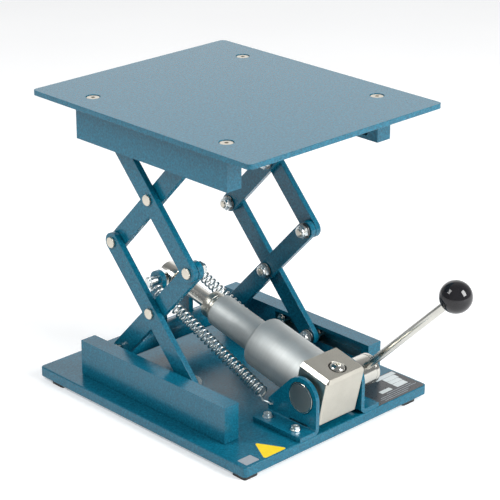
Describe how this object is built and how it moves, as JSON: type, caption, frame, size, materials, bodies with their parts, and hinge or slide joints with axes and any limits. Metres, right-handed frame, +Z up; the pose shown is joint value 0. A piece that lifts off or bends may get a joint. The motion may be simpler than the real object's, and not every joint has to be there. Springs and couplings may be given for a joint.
{
  "type": "hydraulic scissor lab jack",
  "caption": "Small hydraulic scissor lift table: a flat platform on crossed arms over a flat base, raised by a horizontal ram with a side pump lever.",
  "frame": {"origin": "on the surface the jack stands on, under the middle of the box round the whole jack with its lever as posed", "axes": "+Z up, -Y towards the pump lever's knob, +X towards the side the lever's hub is on"},
  "size_m": [0.2, 0.3244, 0.2444],
  "materials": {
    "blue_paint": "hammertone",
    "nickel": "satin nickel plate",
    "aluminium": "satin",
    "steel": "turned and polished",
    "zinc": "bright zinc plate",
    "black_plastic": "polished",
    "rubber": "matte"
  },
  "bodies": {
    "base": {"base_plate": "blue_paint", "foot_front_left": "rubber", "foot_front_right": "rubber", "foot_back_left": "rubber", "foot_back_right": "rubber", "base_rail_left": "blue_paint", "base_rail_right": "blue_paint", "bracket_left": "blue_paint", "bracket_right": "blue_paint", "travel_stop_left": "steel", "travel_stop_right": "steel", "base_pivot_bolt_left": "zinc", "base_pivot_bolt_right": "zinc"},
    "lower_inner": {"lower_inner_arm_left": "blue_paint", "lower_inner_arm_right": "blue_paint", "yoke": "blue_paint", "yoke_pin": "zinc"},
    "lower_outer": {"lower_outer_arm_left": "blue_paint", "lower_outer_arm_right": "blue_paint", "lower_centre_bolt_left": "zinc", "lower_centre_bolt_right": "zinc", "back_knuckle_bolt_left": "zinc", "back_knuckle_bolt_right": "zinc", "base_roller_axle_left": "zinc", "base_roller_axle_right": "zinc"},
    "upper_outer": {"upper_outer_arm_left": "blue_paint", "upper_outer_arm_right": "blue_paint", "front_knuckle_bolt_left": "zinc", "front_knuckle_bolt_right": "zinc", "upper_centre_bolt_left": "zinc", "upper_centre_bolt_right": "zinc"},
    "upper_inner": {"upper_inner_arm_left": "blue_paint", "upper_inner_arm_right": "blue_paint", "platform_roller_axle_left": "zinc", "platform_roller_axle_right": "zinc"},
    "platform": {"top_plate": "blue_paint", "platform_rail_left": "blue_paint", "platform_rail_right": "blue_paint", "platform_pivot_bolt_left": "zinc", "platform_pivot_bolt_right": "zinc", "platform_screw_front_left": "steel", "platform_screw_front_right": "steel", "platform_screw_back_left": "steel", "platform_screw_back_right": "steel"},
    "cylinder": {"pump_block": "nickel", "filler_screw": "steel", "reservoir_tube": "aluminium", "cylinder_tube": "aluminium", "gland": "nickel", "trunnion_pin": "nickel", "return_spring_left": "zinc", "return_spring_right": "zinc"},
    "rod": {"piston_rod": "steel"},
    "lever": {"lever_hub": "steel", "lever_rod": "steel", "ball_knob": "black_plastic"},
    "base_roller_l": {"base_roller_left": "steel"},
    "base_roller_r": {"base_roller_right": "steel"},
    "platform_roller_l": {"platform_roller_left": "steel"},
    "platform_roller_r": {"platform_roller_right": "steel"}
  },
  "joints": [
    {"name": "lift", "type": "hinge", "parent": "base", "child": "lower_inner", "pos_m": [0, 0.1067, 0.0325], "axis": [-1, 0, 0], "range_deg": [-40, 11.5]},
    {"name": "lower_cross", "type": "hinge", "parent": "lower_inner", "child": "lower_outer", "pos_m": [0, 0.06356, 0.0791], "axis": [-1, 0, 0], "range_deg": [-23.5, 80.5]},
    {"name": "front_knuckle", "type": "hinge", "parent": "lower_inner", "child": "upper_outer", "pos_m": [0, 0.02043, 0.1257], "axis": [-1, 0, 0], "range_deg": [-23.5, 80.5]},
    {"name": "back_knuckle", "type": "hinge", "parent": "lower_outer", "child": "upper_inner", "pos_m": [0, 0.1067, 0.1257], "axis": [-1, 0, 0], "range_deg": [-80.5, 23.5]},
    {"name": "platform_level", "type": "hinge", "parent": "upper_outer", "child": "platform", "pos_m": [0, 0.1067, 0.2189], "axis": [-1, 0, 0], "range_deg": [-40.5, 12]},
    {"name": "cylinder_tilt", "type": "hinge", "parent": "base", "child": "cylinder", "pos_m": [0, -0.059, 0.037], "axis": [-1, 0, 0], "range_deg": [-3, 3]},
    {"name": "ram", "type": "slide", "parent": "cylinder", "child": "rod", "axis": [0, 0.9746, 0.224], "range_m": [-0.031, 0.0095], "deforming": ["return_spring_left", "return_spring_right"]},
    {"name": "pump_lever", "type": "hinge", "parent": "cylinder", "child": "lever", "pos_m": [0.038, -0.059, 0.037], "axis": [1, 0, 0], "range_deg": [-10, 45]},
    {"name": "base_roller_left_spin", "type": "hinge", "parent": "lower_outer", "child": "base_roller_l", "pos_m": [-0.0757, 0.02043, 0.0325], "axis": [1, 0, 0], "continuous": true},
    {"name": "base_roller_right_spin", "type": "hinge", "parent": "lower_outer", "child": "base_roller_r", "pos_m": [0.0757, 0.02043, 0.0325], "axis": [1, 0, 0], "continuous": true},
    {"name": "platform_roller_left_spin", "type": "hinge", "parent": "upper_inner", "child": "platform_roller_l", "pos_m": [-0.0757, 0.02043, 0.2189], "axis": [1, 0, 0], "continuous": true},
    {"name": "platform_roller_right_spin", "type": "hinge", "parent": "upper_inner", "child": "platform_roller_r", "pos_m": [0.0757, 0.02043, 0.2189], "axis": [1, 0, 0], "continuous": true}
  ],
  "couplings": [
    {"joint": "lower_cross", "follows": "lift", "ratio": -2},
    {"joint": "front_knuckle", "follows": "lift", "ratio": -2},
    {"joint": "back_knuckle", "follows": "lift", "ratio": 2},
    {"joint": "platform_level", "follows": "lift", "ratio": 1},
    {"joint": "cylinder_tilt", "follows": "lift", "ratio": 0.0367},
    {"joint": "ram", "follows": "lift", "m_per_rad": 0.0436}
  ]
}
